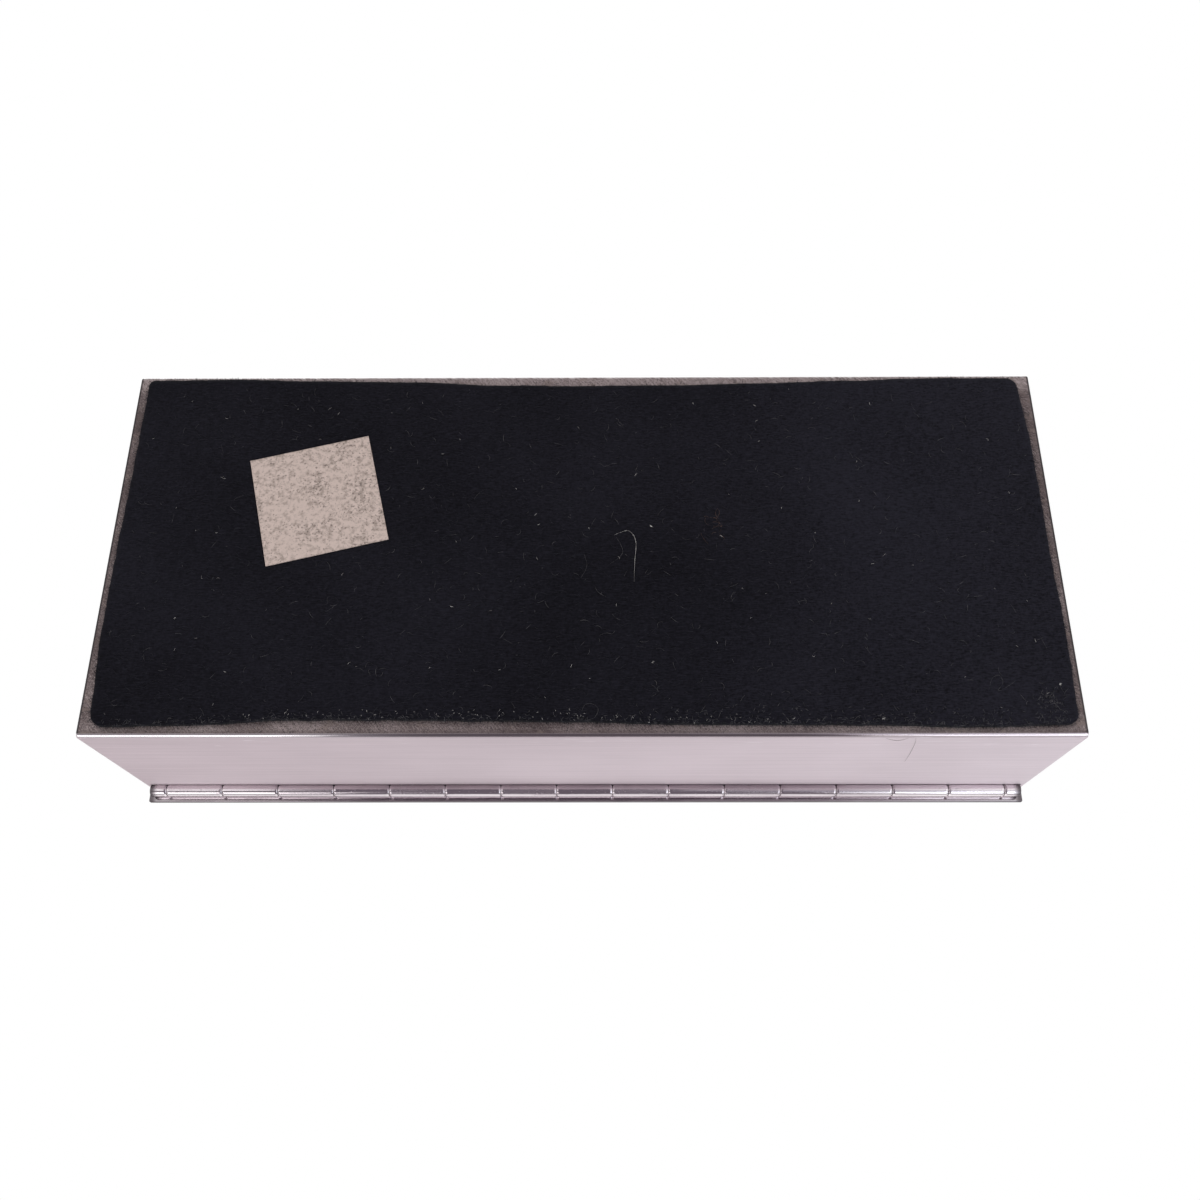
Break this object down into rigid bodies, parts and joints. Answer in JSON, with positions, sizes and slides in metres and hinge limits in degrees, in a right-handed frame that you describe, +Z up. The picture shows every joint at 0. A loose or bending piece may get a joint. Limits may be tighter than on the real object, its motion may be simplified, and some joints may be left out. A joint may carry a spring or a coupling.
{
  "type": "cigarette box",
  "caption": "Long, low stainless steel box with a plate lid on a continuous hinge along the back, a felt base and a lining of wooden boards that makes compartments for cigarettes.",
  "frame": {"origin": "centre of the felt base's underside, on the surface that the box stands on", "axes": "+X along the box, +Y towards the hinge at the back, +Z up"},
  "size_m": [0.2, 0.091, 0.0437],
  "materials": {
    "brushed_body": "brushed along the box, dull and stained where glue lies round the felt",
    "polished_steel": "polished",
    "felt": "black wool felt with pale lint",
    "label": "aged blank paper with dark specks",
    "lining_wood": "plain cedar, fine straight grain"
  },
  "bodies": {
    "box": {"body_channel": "brushed_body", "end_plate_left": "brushed_body", "end_plate_right": "brushed_body", "base_felt": "felt", "base_label": "label", "hinge_leaf_body": "polished_steel", "hinge_pin": "polished_steel", "lining_floor": "lining_wood", "lining_front": "lining_wood", "lining_back": "lining_wood", "lining_left": "lining_wood", "lining_right": "lining_wood", "lining_divider": "lining_wood"},
    "lid": {"lid_plate": "polished_steel", "hinge_leaf_lid": "polished_steel"}
  },
  "joints": [
    {"name": "lid_hinge", "type": "hinge", "parent": "box", "child": "lid", "pos_m": [0, 0.04323, 0.04092], "axis": [-1, 0, 0], "range_deg": [0, 140]}
  ]
}
